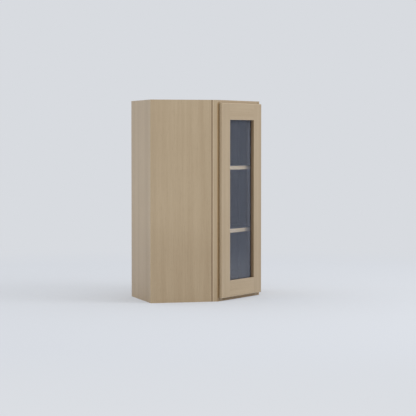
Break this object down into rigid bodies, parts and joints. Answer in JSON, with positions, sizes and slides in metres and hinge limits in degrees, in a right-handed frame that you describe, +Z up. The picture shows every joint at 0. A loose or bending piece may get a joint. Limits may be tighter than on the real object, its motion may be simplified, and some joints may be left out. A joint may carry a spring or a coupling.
{
  "type": "diagonal corner wall cabinet",
  "caption": "Diagonal corner wall cabinet with a glazed door on concealed hinges, face frame, clipped back corner and pegged shelves.",
  "frame": {"origin": "Centre of the overall box in X and Y, at the bottom edge of the case", "axes": "+Z up. The back panels lie on the walls at -X and +Y, and the door's front looks out across the corner, midway between +X and -Y"},
  "size_m": [0.6034, 0.6034, 0.914],
  "materials": {
    "solid_wood": "light grey-brown stained solid wood, fine grain, satin lacquer",
    "veneered_panel": "light grey-brown veneer outside, dark slate laminate inside",
    "back_board": "greyer plain board outside, dark slate laminate inside",
    "plywood": "plain light plywood, unfinished where hidden",
    "dark_laminate": "dark slate laminate on board, matt",
    "clear_glass": "clear float glass",
    "black_rubber": "matt black seal",
    "black_plastic": "matt black moulding",
    "clear_plastic": "milky soft plastic",
    "nickel_plate": "satin nickel plate on steel",
    "steel_screw": "bright zinc plate on steel"
  },
  "bodies": {
    "cabinet": {"left_side_panel": "veneered_panel", "right_side_panel": "veneered_panel", "left_back_panel": "back_board", "right_back_panel": "back_board", "corner_back_panel": "back_board", "top_panel": "plywood", "bottom_panel": "plywood", "top_corner_blocks": "plywood", "bottom_corner_blocks": "plywood", "left_upper_hanging_rail": "plywood", "left_lower_hanging_rail": "plywood", "right_upper_hanging_rail": "plywood", "right_lower_hanging_rail": "plywood", "frame_left_stile": "solid_wood", "frame_right_stile": "solid_wood", "frame_top_rail": "solid_wood", "frame_bottom_rail": "solid_wood", "upper_shelf": "dark_laminate", "lower_shelf": "dark_laminate", "upper_shelf_edging": "solid_wood", "lower_shelf_edging": "solid_wood", "upper_shelf_pegs": "nickel_plate", "lower_shelf_pegs": "nickel_plate", "upper_hinge_arm": "nickel_plate", "lower_hinge_arm": "nickel_plate", "hinge_arm_screws": "steel_screw", "catch_housing": "black_plastic", "catch_magnet": "steel_screw", "catch_screws": "steel_screw"},
    "door": {"door_left_stile": "solid_wood", "door_right_stile": "solid_wood", "door_top_rail": "solid_wood", "door_bottom_rail": "solid_wood", "glass_pane": "clear_glass", "glass_seal": "black_rubber", "glass_clips": "black_plastic", "glass_clip_screws": "steel_screw", "door_bumpers": "clear_plastic", "upper_hinge_cup": "nickel_plate", "lower_hinge_cup": "nickel_plate", "hinge_pins": "steel_screw", "hinge_cup_screws": "steel_screw", "strike_plate": "nickel_plate", "strike_plate_screw": "steel_screw"}
  },
  "joints": [
    {"name": "door_hinge", "type": "hinge", "parent": "cabinet", "child": "door", "pos_m": [0.29281, -0.02998, 0.4575], "axis": [0, 0, 1], "range_deg": [0, 105]}
  ]
}
